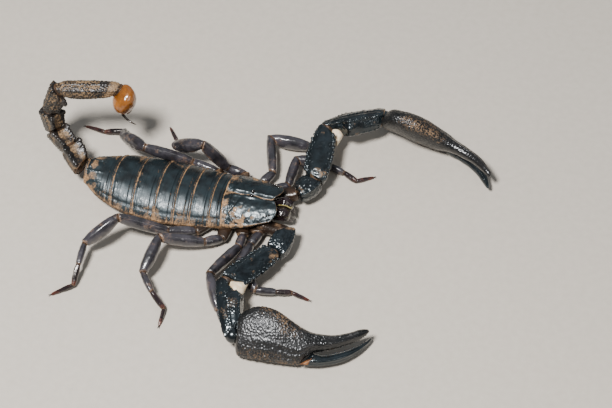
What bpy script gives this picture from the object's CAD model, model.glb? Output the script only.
"""An Asian forest scorpion at life size: horny plates, soft joint skin, jaws, claws, legs and sting.

Sizes are millimetres in the animal's own plan: +X to the head, +Y to its left side and +Z up,
measured from the joint between the carapace and the first tergite, on the floor.
"""

import itertools
import math
from types import SimpleNamespace

import bpy
import numpy as np
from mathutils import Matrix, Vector


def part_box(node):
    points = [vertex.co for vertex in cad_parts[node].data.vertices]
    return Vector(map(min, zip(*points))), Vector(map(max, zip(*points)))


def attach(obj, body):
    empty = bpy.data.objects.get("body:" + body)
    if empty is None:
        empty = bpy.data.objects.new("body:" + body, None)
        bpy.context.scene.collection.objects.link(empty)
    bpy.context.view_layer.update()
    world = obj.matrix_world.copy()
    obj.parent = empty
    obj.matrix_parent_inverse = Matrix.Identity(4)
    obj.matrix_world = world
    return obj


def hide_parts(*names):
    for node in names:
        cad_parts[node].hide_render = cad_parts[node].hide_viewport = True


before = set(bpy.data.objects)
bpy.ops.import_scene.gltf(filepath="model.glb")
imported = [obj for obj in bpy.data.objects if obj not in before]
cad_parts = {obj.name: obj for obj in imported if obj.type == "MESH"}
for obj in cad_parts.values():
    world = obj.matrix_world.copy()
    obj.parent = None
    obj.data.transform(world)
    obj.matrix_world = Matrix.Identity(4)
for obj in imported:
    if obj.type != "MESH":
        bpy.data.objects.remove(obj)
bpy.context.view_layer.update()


# ================================================================ carapace
# The carapace is one horny shield over the head and the legs' roots, of tanned chitin grown in a
# single piece. A furrow parts its two smooth lobes, its rim is turned up, and its sides are grained.

MM = 0.001
EYE_X = 7.4
eye_low, eye_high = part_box("eye_left")
shield_low, shield_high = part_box("carapace")
PLAN_ORIGIN = np.array(
    [(eye_low.x + eye_high.x) / 2 / MM - EYE_X, (shield_low.y + shield_high.y) / 2 / MM, 0.0]
)

# places along +X of the shield's rear edge and of the notch in its front edge
SHIELD_REAR = 0.6
SHIELD_NOTCH = 13.2
# how far the lobes stand past the notch, and how far the rear edge bows back
SHIELD_LOBE = 2.1
SHIELD_BOW = 1.0
# half width and height of the side edge, each at the rear and at the front
SHIELD_HALF = (9.1, 6.3)
SHIELD_EDGE = (4.4, 6.9)
# height of the top, and how much more its crown rises
SHIELD_TOP = 8.7
SHIELD_CROWN = 0.8
SHIELD_SATIN = 0.5
PLATE_THICKNESS = 0.4
PLATE_GAP = 0.12


def mix(a, b, t):
    """a where t is 0, b where t is 1, and evenly between."""
    return a + (b - a) * t


def step(low, high, x):
    """0 at low, 1 at high, an S curve between and level beyond; low may be the larger of the two."""
    t = np.clip((x - low) / (high - low), 0, 1)
    return t * t * (3 - 2 * t)


def hill(x, width):
    """A rounded hill of height 1 at x = 0: e to the minus (x / width) squared."""
    return np.exp(-((x / width) ** 2))


def hashed(cells, seed):
    """A number from 0 to 1 for each whole-number cell, by multiplying and folding its three indices."""
    h = (cells[..., 0] * 73856093) ^ (cells[..., 1] * 19349663) ^ (cells[..., 2] * 83492791) ^ (seed * 7919)
    h = ((h ^ (h >> 13)) * 1274126177) & 0xFFFFFFFF
    h = ((h ^ (h >> 16)) * 668265263) & 0xFFFFFFFF
    return (h ^ (h >> 15)) / 4294967296.0


def drift(points, size, seed):
    """Smooth noise from -1 to 1: hashed numbers at the corners of cubes of `size`, eased between them."""
    scaled = points / size
    base = np.floor(scaled).astype(np.int64)
    part = scaled - base
    ease = part * part * (3 - 2 * part)
    total = 0
    for corner in itertools.product((0, 1), repeat=3):
        weight = np.prod(np.where(np.array(corner) == 1, ease, 1 - ease), axis=-1)
        total = total + weight * hashed(base + np.array(corner), seed)
    return 2 * total - 1


GRAIN_REACH = 0.6


def grains(points, pitch, seed):
    """Domes of height 1 round scattered centres, one in each cube of `pitch`, down to 0 at 0.6 pitches."""
    scaled = points / pitch
    base = np.floor(scaled).astype(np.int64)
    nearest = np.full(points.shape[:-1], 9.0)
    for way in itertools.product((-1, 0, 1), repeat=3):
        cell = base + np.array(way)
        shift = np.stack([hashed(cell, seed + k) for k in range(3)], axis=-1)
        centre = cell + 0.5 + 0.8 * (shift - 0.5)
        nearest = np.minimum(nearest, ((scaled - centre) ** 2).sum(-1))
    return np.clip(1 - nearest / GRAIN_REACH**2, 0, 1)


def grid_normals(points, wrap):
    """Unit normals of a grid of points: the cross product of its slopes along rows and columns."""
    along = np.gradient(points, axis=0)
    if wrap:
        across = (np.roll(points, -1, axis=1) - np.roll(points, 1, axis=1)) / 2
    else:
        across = np.gradient(points, axis=1)
    normal = np.cross(along, across)
    return normal / np.maximum(np.linalg.norm(normal, axis=-1, keepdims=True), 1e-9)


def upward_normals(plate):
    """Unit normals of a plate's upper grid, turned so that they point up at its middle."""
    normal = grid_normals(plate, False)
    return normal * np.sign(normal[len(plate) // 2, plate.shape[1] // 2, 2])


def quads_of_grid(rows, columns, wrap, first=0):
    """Corner numbers of the quads between neighbouring rows and columns of a grid of points."""
    i = np.arange(rows - 1)[:, None]
    j = np.arange(columns if wrap else columns - 1)[None, :]
    after = (j + 1) % columns
    corners = [i * columns + j, i * columns + after, (i + 1) * columns + after, (i + 1) * columns + j]
    return first + np.stack(np.broadcast_arrays(*corners), axis=-1).reshape(-1, 4)


def turned_out(points, quads, tris):
    """The same faces, all turned over if the body's signed volume is negative."""
    volume = 0.0
    for faces, corners in [(quads, (0, 1, 2)), (quads, (0, 2, 3)), (tris, (0, 1, 2))]:
        a, b, c = [points[faces[:, corner]] for corner in corners]
        volume += np.einsum("ij,ij->", a, np.cross(b, c))
    return (quads, tris) if volume > 0 else (quads[:, ::-1], tris[:, ::-1])


def shell_body(upper, thickness, dust, satin=0.0):
    """A closed plate: an upper grid, the same grid `thickness` below it along its normals, and a rim."""
    rows, columns = upper.shape[:2]
    lower = upper - upward_normals(upper) * thickness
    points = np.concatenate([upper.reshape(-1, 3), lower.reshape(-1, 3)])
    count = rows * columns
    index = np.arange(count).reshape(rows, columns)
    edge = np.concatenate([index[0, :-1], index[:-1, -1], index[-1, :0:-1], index[:0:-1, 0]])
    after = np.roll(edge, -1)
    quads = np.concatenate(
        [
            quads_of_grid(rows, columns, False),
            quads_of_grid(rows, columns, False, count)[:, ::-1],
            np.stack([after, edge, edge + count, after + count], axis=-1),
        ]
    )
    quads, tris = turned_out(points, quads, np.zeros((0, 3), int))
    marks = [np.tile(np.broadcast_to(mark, (rows, columns)).ravel(), 2) for mark in (dust, satin)]
    return SimpleNamespace(points=points, quads=quads, tris=tris, dust=marks[0], satin=marks[1])


def tube_body(rings, dust, satin=0.0):
    """A closed body of rings in a row. The first and last are drawn in to nothing and close as poles."""
    rows, columns = rings.shape[:2]
    inner = rings[1:-1].reshape(-1, 3)
    points = np.concatenate([rings[:1].mean(axis=1), inner, rings[-1:].mean(axis=1)])
    quads = quads_of_grid(rows - 2, columns, True, 1)
    j = np.arange(columns)
    after = (j + 1) % columns
    far = 1 + (rows - 3) * columns
    last = np.full(columns, len(points) - 1)
    root_fan = np.stack([np.zeros(columns, int), after + 1, j + 1], axis=-1)
    tip_fan = np.stack([last, far + j, far + after], axis=-1)
    quads, tris = turned_out(points, quads, np.concatenate([root_fan, tip_fan]))
    marks = []
    for mark in (dust, satin):
        grid = np.broadcast_to(mark, (rows, columns))
        marks.append(np.concatenate([grid[0, :1], grid[1:-1].ravel(), grid[-1, :1]]))
    return SimpleNamespace(points=points, quads=quads, tris=tris, dust=marks[0], satin=marks[1])


def joined(bodies):
    """Several closed bodies as one: points and marks end to end, faces counted on."""
    firsts = np.cumsum([0] + [len(body.points) for body in bodies])
    whole = {}
    for key in ("points", "dust", "satin"):
        whole[key] = np.concatenate([getattr(body, key) for body in bodies])
    for key in ("quads", "tris"):
        whole[key] = np.concatenate([getattr(body, key) + first for body, first in zip(bodies, firsts)])
    return SimpleNamespace(**whole)


# degrees between faces past which an edge stays sharp
CREASE_ANGLE = 55


def make_piece(name, body, finish, stands_for=()):
    """A smooth mesh object of a body, never below the floor, with its dust and satin as attributes."""
    mesh = bpy.data.meshes.new(name)
    places = (body.points + PLAN_ORIGIN) * MM
    places[:, 2] = np.maximum(places[:, 2], 0.0)
    mesh.from_pydata(places.tolist(), [], body.quads.tolist() + body.tris.tolist())
    for key in ("dust", "satin"):
        layer = mesh.attributes.new(key, "FLOAT", "POINT")
        layer.data.foreach_set("value", np.clip(getattr(body, key), 0, 1).astype(np.float32))
    mesh.polygons.foreach_set("use_smooth", np.ones(len(mesh.polygons), bool))
    mesh.set_sharp_from_angle(angle=math.radians(CREASE_ANGLE))
    mesh.materials.append(finish)
    mesh.update()
    piece = bpy.data.objects.new(name, mesh)
    bpy.context.scene.collection.objects.link(piece)
    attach(piece, "root")
    if stands_for:
        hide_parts(*stands_for)


def linear(code):
    """Linear colour from an sRGB hex value."""
    parts = np.array([(code >> shift) & 255 for shift in (16, 8, 0)]) / 255
    parts = np.where(parts <= 0.04045, parts / 12.92, ((parts + 0.055) / 1.055) ** 2.4)
    return (*parts.tolist(), 1.0)


def add_node(tree, kind, inputs=None, stops=(), **settings):
    """Adds a node with its properties, its inputs (values or links) and the stops of its colour ramp."""
    node = tree.nodes.new(kind)
    for key, value in settings.items():
        setattr(node, key, value)
    for key, value in (inputs or {}).items():
        if isinstance(value, bpy.types.NodeSocket):
            tree.links.new(value, node.inputs[key])
        else:
            node.inputs[key].default_value = value
    for i, (position, code) in enumerate(stops):
        node.color_ramp.elements[i].position = position
        node.color_ramp.elements[i].color = linear(code)
    return node


def new_finish(name, values):
    """A new material with its even values set, its node tree, its shader, and places on the object."""
    material = bpy.data.materials.new(name)
    material.use_nodes = True
    tree = material.node_tree
    shader = tree.nodes["Principled BSDF"]
    for key, value in values.items():
        shader.inputs[key].default_value = value
    return material, tree, shader, add_node(tree, "ShaderNodeTexCoord").outputs["Object"]


CHITIN_IOR = 1.56
SATIN_ROUGHNESS = 0.16


def horn(
    name, tones, soil_tones, gloss, grain, dusty_gloss=0.7, bump=0.35, tint=(0.8, 0.92, 1.0, 1), wax=0.06
):
    """Tanned chitin: IOR 1.56, hard and glossy, drifting between two dark tones over 3 mm.

    Soil dust clings where the dust attribute is high, in specks of `grain` millimetres, and is matt.
    The satin attribute marks finely worn ground, rougher by 0.16. `tint` colours the sheen, and
    `wax` is the weight of the smooth waxy outer layer, which gives the sharp small lights.
    """
    material, tree, shader, place = new_finish(
        name, {"IOR": CHITIN_IOR, "Specular Tint": tint, "Coat Weight": wax, "Coat Roughness": 0.12}
    )
    broad = add_node(tree, "ShaderNodeTexNoise", {"Vector": place, "Scale": 1 / (3 * MM), "Detail": 3.0})
    specks = {"Vector": place, "Scale": 1 / (grain * MM), "Detail": 4.0, "Roughness": 0.6}
    fine = add_node(tree, "ShaderNodeTexNoise", specks)
    tone = add_node(tree, "ShaderNodeValToRGB", {"Fac": broad.outputs["Fac"]}, zip((0.35, 0.68), tones))
    soil = add_node(tree, "ShaderNodeValToRGB", {"Fac": fine.outputs["Fac"]}, zip((0.32, 0.66), soil_tones))
    dust = add_node(tree, "ShaderNodeAttribute", attribute_name="dust")
    patchy = add_node(
        tree, "ShaderNodeMath", {0: fine.outputs["Fac"], 1: 1.5, 2: -0.75}, operation="MULTIPLY_ADD"
    )
    spread = add_node(
        tree, "ShaderNodeMath", {0: dust.outputs["Fac"], 1: 1.9, 2: -0.45}, operation="MULTIPLY_ADD"
    )
    cover = add_node(
        tree, "ShaderNodeMath", {0: spread.outputs[0], 1: patchy.outputs[0]}, operation="ADD", use_clamp=True
    )
    blend = {0: cover.outputs[0], 6: tone.outputs["Color"], 7: soil.outputs["Color"]}
    colour = add_node(tree, "ShaderNodeMix", blend, data_type="RGBA")
    rough = add_node(tree, "ShaderNodeMapRange", {0: cover.outputs[0], 3: gloss, 4: dusty_gloss})
    satin = add_node(tree, "ShaderNodeAttribute", attribute_name="satin")
    worn = {0: satin.outputs["Fac"], 1: SATIN_ROUGHNESS, 2: rough.outputs[0]}
    rougher = add_node(tree, "ShaderNodeMath", worn, operation="MULTIPLY_ADD")
    pits = {"Height": fine.outputs["Fac"], "Strength": bump, "Distance": 0.06 * MM}
    relief = add_node(tree, "ShaderNodeBump", pits)
    tree.links.new(colour.outputs[2], shader.inputs["Base Color"])
    tree.links.new(rougher.outputs[0], shader.inputs["Roughness"])
    tree.links.new(relief.outputs["Normal"], shader.inputs["Normal"])
    return material


# shield and tergites: blue-black chitin, polished by burrow walls, with tan soil in its furrows
BACK_HORN = horn("back_chitin", (0x080B0D, 0x182226), (0x5E4630, 0xA8825A), gloss=0.27, grain=0.45, wax=0.09)


def shield_points(s, v):
    """The shield: s runs from its rear edge to its front lobes, v from the right side to the left.

    The half width narrows forward as s to the power 2.4. A lobe stands forward as a quarter sine of
    |v| over the inner two thirds times (1 - |v|^6)^0.7, and the height domes as (1 - |v|^2.4)^0.75.
    """
    half = mix(*SHIELD_HALF, s**2.4)
    lobe = SHIELD_LOBE * np.sin(np.pi / 2 * np.minimum(1, 1.5 * np.abs(v))) * (1 - np.abs(v) ** 6) ** 0.7
    x = mix(SHIELD_REAR + PLATE_GAP - SHIELD_BOW * (1 - v * v), SHIELD_NOTCH + lobe, s)
    top = SHIELD_TOP + SHIELD_CROWN * np.sin(np.pi * (0.15 + 0.6 * s))
    dome = (1 - np.abs(v) ** 2.4) ** 0.75
    return np.stack(np.broadcast_arrays(x, v * half, mix(mix(*SHIELD_EDGE, s**1.5), top, dome)), axis=-1)


shield_s = np.linspace(0, 1, 150)[:, None]
shield_v = np.sin(np.linspace(-1, 1, 171) * np.pi / 2)[None, :]
shield = shield_points(shield_s, shield_v)
x, y = shield[..., 0], shield[..., 1]
# millimetres in from the side, front and rear edges
to_side = (1 - np.abs(shield_v)) * mix(*SHIELD_HALF, shield_s**2.4)
to_front = (1 - shield_s) * SHIELD_NOTCH
to_rear = shield_s * SHIELD_NOTCH
furrow = hill(y, 0.4 + 1.0 * hill(x - 0.4, 1.7))
side_furrow = hill(x - 4.2 + 0.05 * y**2, 0.4) * step(1.6, 3.2, np.abs(y)) * step(2.4, 3.6, to_side)
rear_furrow = hill(x - 1.6 - 0.015 * y**2, 0.32) * step(0.5, 1.6, to_side) * step(0.8, 1.6, np.abs(y))
grained = step(1.0, 0.3, np.minimum(to_side / 3.6, to_rear / 4.5)) * step(0.1, 0.4, to_side)
grained = grained * (0.35 + 0.65 * step(9.5, 5.0, x))
# in turn: the eyes' mound, the middle furrow and its banks, the other furrows, the rims, the grain
shield_relief = (
    0.5 * hill(x - EYE_X, 1.6) * hill(y, 1.2)
    - 0.5 * furrow
    - 0.4 * hill(y, 1.9) * step(2.0, 4.5, x) * step(13.5, 11.0, x)
    + 0.2 * hill(np.abs(y) - 1.0, 0.42) * step(1.6, 3.0, x)
    - 0.22 * hill(x - 1.4, 1.5) * hill(y, 1.4)
    - 0.22 * side_furrow
    - 0.16 * rear_furrow
    + 0.16 * hill(to_side - 0.2, 0.22)
    + 0.12 * hill(to_front - 0.2, 0.22)
    + 0.10 * drift(shield, 2.6, 1)
    + 0.08 * drift(shield, 1.1, 7)
    + 0.05 * drift(shield, 0.6, 3)
    + 0.075 * grained * grains(shield, 0.6, 11)
)
shield += upward_normals(shield) * shield_relief[..., None]
from_middle = np.abs(shield_v)
soil_patch = step(0.5, 0.84, from_middle) * hill(x - 5.2, 3.4) * (0.5 + 0.5 * drift(shield, 1.7, 2))
soil_patch = soil_patch * (0.75 + 0.6 * drift(shield, 0.6, 8))
rear_soil = hill(to_rear - 0.8, 0.75) * step(0.2, 0.45, from_middle) * (0.8 + 0.4 * drift(shield, 0.9, 4))
shield_dust = (
    0.8 * hill(y, 0.2 + 1.1 * hill(x - 0.3, 1.0)) * (0.85 + 0.5 * drift(shield, 1.1, 5))
    + 0.6 * hill(to_rear - 0.05, 0.25)
    + 0.7 * rear_soil
    + 0.5 * hill(to_side - 0.3, 0.16)
    + 0.45 * hill(to_front, 0.22)
    + 0.25 * side_furrow
    + 0.8 * soil_patch
    + 0.9 * step(0.3, 0.7, from_middle) * step(0.0, 0.7, drift(shield, 1.3, 9)) * step(12.0, 7.0, x)
    + 0.35 * grained * drift(shield, 1.3, 6)
    - 0.05
)
shield_body = shell_body(shield, PLATE_THICKNESS, shield_dust, SHIELD_SATIN)
make_piece("carapace_shield", shield_body, BACK_HORN, ["carapace"])


# ================================================================ eyes
# Two median eyes sit on the sides of a low mound, and three small ones at each front corner.
# Each is a clear lens of the same chitin over black pigment, so it looks like a wet black bead.

EYE_RADIUS = 0.55
EYE_SPREAD = 0.78
# share of its radius by which a lens's centre stands above the shield
EYE_STAND = 0.3
# place along, place across and radius of the small eyes
SIDE_EYES = [(13.4, 5.1, 0.3), (12.7, 5.5, 0.3), (12.0, 5.7, 0.24)]


def ball_body(centre, radius, rows=18, columns=28):
    """A ball: rings of radius sin(a) at height cos(a) as a goes from pole to pole."""
    a = np.linspace(0, np.pi, rows)[:, None]
    turn = np.arange(columns)[None, :] / columns * 2 * np.pi
    unit = np.broadcast_arrays(np.sin(a) * np.cos(turn), np.sin(a) * np.sin(turn), np.cos(a))
    return tube_body(np.stack(unit, axis=-1) * radius + np.asarray(centre), 0.0)


def lens(name):
    """Clear chitin over black pigment: IOR 1.56, near mirror smooth, with a faint brown depth."""
    material, tree, shader, place = new_finish(
        name, {"Roughness": 0.06, "IOR": CHITIN_IOR, "Coat Weight": 1.0, "Coat Roughness": 0.02}
    )
    depth = add_node(tree, "ShaderNodeTexNoise", {"Vector": place, "Scale": 1 / (0.6 * MM), "Detail": 2.0})
    stops = [(0.0, 0x050505), (1.0, 0x1A1210)]
    tone = add_node(tree, "ShaderNodeValToRGB", {"Fac": depth.outputs["Fac"]}, stops)
    tree.links.new(tone.outputs["Color"], shader.inputs["Base Color"])
    return material


EYE_LENS = lens("eye_lens")


def shield_height(at_x, at_y):
    """Height of the shield's finished surface at the grid point nearest to a place in plan."""
    nearest = np.argmin((shield[..., 0] - at_x) ** 2 + (shield[..., 1] - at_y) ** 2)
    return shield[..., 2].ravel()[nearest]


for side, name in [(1, "left"), (-1, "right")]:
    bodies = []
    for along, across, radius in [(EYE_X, EYE_SPREAD, EYE_RADIUS)] + SIDE_EYES:
        height = shield_height(along, side * across) + EYE_STAND * radius
        bodies.append(ball_body((along, side * across, height), radius))
    make_piece(f"eyes_{name}", joined(bodies), EYE_LENS, [f"eye_{name}"])


# ================================================================ tergites
# Seven horny plates roof the trunk, each sliding over the next when the body swells. Their rear
# edges are lipped, a step marks the part that slips under the plate in front, and soil dust
# gathers along both. The last one tapers to the tail and carries four grained keels.

TERGITE_ENDS = [SHIELD_REAR, -3.2, -8.6, -13.1, -18.5, -24.9, -31.5, -40.2]
TERGITE_BOW = 0.5
TERGITE_SATIN = 1.0
ROWS_PER_MM = 8
# place along +X, then half width, height of the top or height of the side edge
TRUNK_HALF = [
    [-40, 4.1], [-36, 6.7], [-31, 9.0], [-23, 10.5], [-13, 10.7], [-5, 9.9], [0, 9.2], [8, 7.6], [14, 4.6],
]
TRUNK_TOP = [[-40, 8.5], [-24, 8.5], [-8, 8.8], [0, 8.8]]
TRUNK_EDGE = [[-40, 5.0], [-30, 3.8], [-14, 3.3], [-3, 3.8], [0, 4.3]]
# warts near the rear edge: share of the half width, distance from the edge
WARTS = [(-0.16, 1.25), (0.1, 1.5), (0.34, 1.15), (0.52, 1.5), (-0.42, 1.5)]
# distance of the last plate's keels from its middle
PLATE_KEELS = (1.9, 4.4)


def smooth_through(stations, at):
    """Values at `at` on the smooth curve through rows of place and values; neighbours give its slopes."""
    table = np.asarray(stations, float)
    place, values = table[:, 0], table[:, 1:]
    slopes = np.gradient(values, place, axis=0)
    at = np.clip(np.asarray(at, float), place[0], place[-1])
    i = np.clip(np.searchsorted(place, at, side="right") - 1, 0, len(place) - 2)
    span = (place[i + 1] - place[i])[..., None]
    t = (at - place[i])[..., None] / span
    first = (1 + 2 * t) * (1 - t) ** 2 * values[i] + t * (1 - t) ** 2 * span * slopes[i]
    second = t * t * (3 - 2 * t) * values[i + 1] + t * t * (t - 1) * span * slopes[i + 1]
    return first + second


def tergite_points(k, s, v):
    """Plate k: s runs from its front edge to its rear lip and v from right to left.

    The height domes as (1 - |v|^2.3)^0.8 between side edge and top.
    """
    front, rear = TERGITE_ENDS[k - 1], TERGITE_ENDS[k]
    front_bow = SHIELD_BOW if k == 1 else TERGITE_BOW
    rear_bow = 0 if k == 7 else TERGITE_BOW
    bend = 1 - v * v
    x = mix(front - PLATE_GAP - front_bow * bend, rear + PLATE_GAP - rear_bow * bend, s)
    tables = (TRUNK_HALF, TRUNK_TOP, TRUNK_EDGE)
    half, top, edge = [smooth_through(table, mix(front, rear, s))[..., 0] for table in tables]
    lip = 0.25 * s**3 - 0.3 * (1 - s) ** 3
    dome = (1 - np.abs(v) ** 2.3) ** 0.8
    return np.stack(np.broadcast_arrays(x, v * half, mix(edge, top + lip, dome)), axis=-1)


def tergite_body(k):
    """Plate k in full: tucked step, lip, warts and grain raised along its normals, and its soil."""
    length = TERGITE_ENDS[k - 1] - TERGITE_ENDS[k]
    rows = max(34, int(length * ROWS_PER_MM))
    s = np.linspace(0, 1, rows)[:, None]
    v = np.sin(np.linspace(-1, 1, 131) * np.pi / 2)[None, :]
    plate = tergite_points(k, s, v)
    y = plate[..., 1]
    from_front, from_rear = s * length, (1 - s) * length
    tucked = 0.9 + 0.25 * k / 7
    ripple = drift(plate, 1.4, 20 + k)
    strokes = drift(plate * (1.0, 0.14, 0.14), 0.42, 25 + k)
    to_tail = step(3.5, 5.5, k)
    keels = 0
    if k == 7:
        keels = sum(hill(np.abs(y) - at, 0.28) for at in PLATE_KEELS) * step(0.25, 0.5, s) * step(1.0, 0.9, s)
    rough_zone = step(0.3, 0.9, s) * 0.7 + step(0.55, 0.9, np.abs(v)) * 0.5
    warts = sum(hill(v - at, 0.045) * hill(from_rear - out, 0.38) for at, out in WARTS)
    warts = warts * (0.15 + 0.85 * to_tail)
    relief = (
        -0.16 * step(tucked + 0.15, tucked - 0.15, from_front)
        + 0.12 * hill(from_rear - 0.25, 0.25)
        - 0.10 * hill(from_rear - 0.85, 0.3)
        + 0.07 * hill(y, 0.5) * step(0.25, 0.5, s)
        + 0.09 * hill(np.abs(y) - 3.6, 1.4) * hill(s - 0.5, 0.25)
        - 0.12 * hill(np.abs(v) - 0.86, 0.04)
        + 0.05 * ripple
        + 0.045 * strokes
        + 0.16 * warts
        + 0.06 * rough_zone * grains(plate, 0.5, 30 + k)
        + 0.2 * keels * (0.5 + grains(plate, 0.7, 40 + k))
    )
    plate = plate + upward_normals(plate) * relief[..., None]
    blotch = step(-0.1, 0.6, drift(plate, 2.2, 50 + k) + 0.5 * drift(plate, 0.9, 60 + k))
    dust = (
        0.8 * hill(from_rear - 0.55, 0.17) * (0.85 + 0.4 * ripple)
        + 0.45 * hill(from_rear, 0.12)
        + 0.22 * hill(from_front - tucked, 0.22) * (0.7 + 0.9 * ripple)
        + 0.22 * blotch * (0.3 + 0.7 * step(0.3, 0.9, np.abs(v)))
        + 0.5 * blotch * step(0.35, 0.8, v) * (0.5 + 0.5 * strokes)
        + 0.24 * step(0.66, 0.97, np.abs(v)) * (0.8 + 0.7 * strokes)
        + 0.2 * step(0.95, 1.0, np.abs(v))
        + 0.5 * hill(from_rear - 1.2, 0.6) * hill(v - 0.1, 0.42) * (0.55 + ripple) * to_tail
        + (0.6 * step(-0.4, 0.5, ripple) * step(0.3, 0.75, s) if k == 7 else 0)
        - 0.75 * np.minimum(warts, 1)
        - 0.5 * keels
    )
    return shell_body(plate, PLATE_THICKNESS, dust, TERGITE_SATIN)


for k in range(1, len(TERGITE_ENDS)):
    make_piece(f"tergite_plate_{k}", tergite_body(k), BACK_HORN, [f"tergite_{k}"])


# ================================================================ joints of the limbs
# Every limb is a chain of stiff lengths. Each length has a heading (yaw, from +X to +Y) and a
# rise (pitch); the lengths meet on the plane that halves the bend between them.


def bone(start, length, yaw, pitch):
    """One straight length: its ends, and unit vectors along it, to its left and out of its upper face."""
    turn, rise = math.radians(yaw), math.radians(pitch)
    forward = np.array([math.cos(rise) * math.cos(turn), math.cos(rise) * math.sin(turn), math.sin(rise)])
    left = np.array([-math.sin(turn), math.cos(turn), 0.0])
    start = np.asarray(start, float)
    end = start + forward * length
    return SimpleNamespace(
        start=start, end=end, length=length, forward=forward, left=left, top=np.cross(forward, left)
    )


def bone_to(start, end, rise=None):
    """The straight length between two points, with a stated rise of its faces if it isn't its own."""
    start, end = np.asarray(start, float), np.asarray(end, float)
    way = end - start
    length = np.linalg.norm(way)
    pitch = math.degrees(math.asin(way[2] / length)) if rise is None else rise
    return bone(start, length, math.degrees(math.atan2(way[1], way[0])), pitch)


def chain(start, lengths, poses):
    """Lengths end to end from a start."""
    bones = []
    for length, (yaw, pitch) in zip(lengths, poses):
        bones.append(bone(start, length, yaw, pitch))
        start = bones[-1].end
    return bones


def joint_planes(bones, i):
    """The planes at both ends of length i: each normal is the mean of the two directions that meet there."""
    planes = []
    for a, b in [(i - 1, i), (i, i + 1)]:
        ways = [bones[k].forward for k in (a, b) if 0 <= k < len(bones)]
        normal = sum(ways)
        planes.append(normal / np.linalg.norm(normal))
    return planes


def degrees_round(columns):
    """Degrees from a ring's first side, round over its back, of each of its points."""
    return ((np.arange(columns) + 0.5) / columns * 360)[None, :]


def oval(columns, squareness):
    """Across and up of the points of a ring on which |across|^n + |up|^n = 1."""
    turn = np.radians(degrees_round(columns))
    c, s = np.cos(turn), np.sin(turn)
    reach = (np.abs(c) ** squareness + np.abs(s) ** squareness) ** (-1 / squareness)
    return c * reach, s * reach


def rings_round(one, planes, t, half, deep, squareness=2.0, columns=48, lift=0.0):
    """Rings round one length: ovals of the given half sizes, leaning evenly from one plane to the other."""
    unit_across, unit_up = oval(columns, squareness)
    t = np.asarray(t)[:, None]
    half, deep, lift = [np.asarray(size, float).reshape(-1, 1) for size in (half, deep, lift)]
    offset = (half * unit_across)[..., None] * one.left + (lift + deep * unit_up)[..., None] * one.top
    slide = [-(offset @ plane) / (one.forward @ plane) for plane in planes]
    place = t * one.length + mix(*slide, t)
    return one.start + place[..., None] * one.forward + offset


# rings in each rounded end
CAP_ROWS = 7


def capped_rows(length, cap, pitch):
    """Places along a length, closer together at its rounded ends, and the share of full size at each."""
    bend = np.linspace(0, np.pi / 2, CAP_ROWS)
    near = cap * (1 - np.cos(bend)) / length
    middle = np.linspace(cap / length, 1 - cap / length, max(4, int(length / pitch)))[1:-1]
    share = np.sin(bend)
    places = np.concatenate([near, middle, 1 - near[::-1]])
    return places, np.concatenate([share, np.ones(len(middle)), share[::-1]])


def swell(sizes, t):
    """Smooth value through a base, a middle and an end."""
    base, middle, end = sizes
    return base * (1 - t) * (1 - 2 * t) + middle * 4 * t * (1 - t) + end * t * (2 * t - 1)


def waist(t, narrow, rate=7.0):
    """The narrowing of a length where it meets its joints."""
    return mix(narrow, 1.0, np.minimum(1, rate * np.minimum(t, 1 - t)) ** 0.6)


def ridges(angle, places, width):
    """Rounded ridges of height 1 that run along a length, one at each of the given degrees round it."""
    return sum(hill((angle - place + 180) % 360 - 180, width) for place in places)


def raised(rings, relief):
    """Rings moved out along their own normals by a relief in millimetres."""
    normal = grid_normals(rings, True)
    centre = rings.mean(axis=1, keepdims=True)
    outward = np.sign(((rings - centre) * normal)[len(rings) // 2].sum())
    return rings + normal * outward * relief[..., None]


# sleeves over the joints, gathered limb by limb and made one piece with the rest of the soft skin
soft_parts = []


def joint_skin(bones, i, half, deep, reach):
    """A folded sleeve of soft skin over the joint between lengths i - 1 and i, closed inside both."""
    back, on = bones[i - 1], bones[i]
    s = np.linspace(0, 1, 12)
    size = np.sin(s * np.pi / 2) ** 0.5 * (1 + 0.05 * np.cos(s * 5 * np.pi))
    t = 1 - (1 - s) * reach / back.length
    before = rings_round(back, joint_planes(bones, i - 1), t, half * size, deep * size, columns=24)
    t, size = s[1:] * reach / on.length, size[-2::-1]
    after = rings_round(on, joint_planes(bones, i), t, half * size, deep * size, columns=24)
    soft_parts.append(tube_body(np.concatenate([before, after]), 0.5))


# ================================================================ tail
# Five ringed segments of thick chitin, keeled like gutters with rows of blunt teeth along the
# keels, each hinged to the next by a collar. Soil lies in the hollows and the keels are rubbed black.

TAIL_BASE = [-41.4, -0.2, 6.9]
# length, yaw and pitch, then half width and half depth at base, middle and end; then bulb and sting
TAIL = [
    (6.6, 139, 18, (2.9, 3.3, 3.1), (2.7, 3.0, 2.9)),
    (7.4, 143, 8, (2.7, 3.0, 3.0), (2.6, 2.8, 2.9)),
    (7.8, 154, 82, (2.5, 2.8, 2.8), (2.4, 2.7, 2.8)),
    (8.9, 191, 112, (2.3, 2.6, 2.6), (2.3, 2.6, 2.7)),
    (16.0, 196, 182, (2.1, 2.35, 1.8), (2.2, 2.4, 1.85)),
    (7.5, 138, 248),
    (5.9, 157, 208),
]
# for each segment: height of its nodules, how far they clear it of soil, and how soiled it is
TAIL_WEAR = [(0.05, 0.1, 0.85), (0.07, 0.14, 0.8), (0.1, 0.2, 0.9), (0.2, 0.34, 0.9), (0.17, 0.34, 0.95)]
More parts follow.
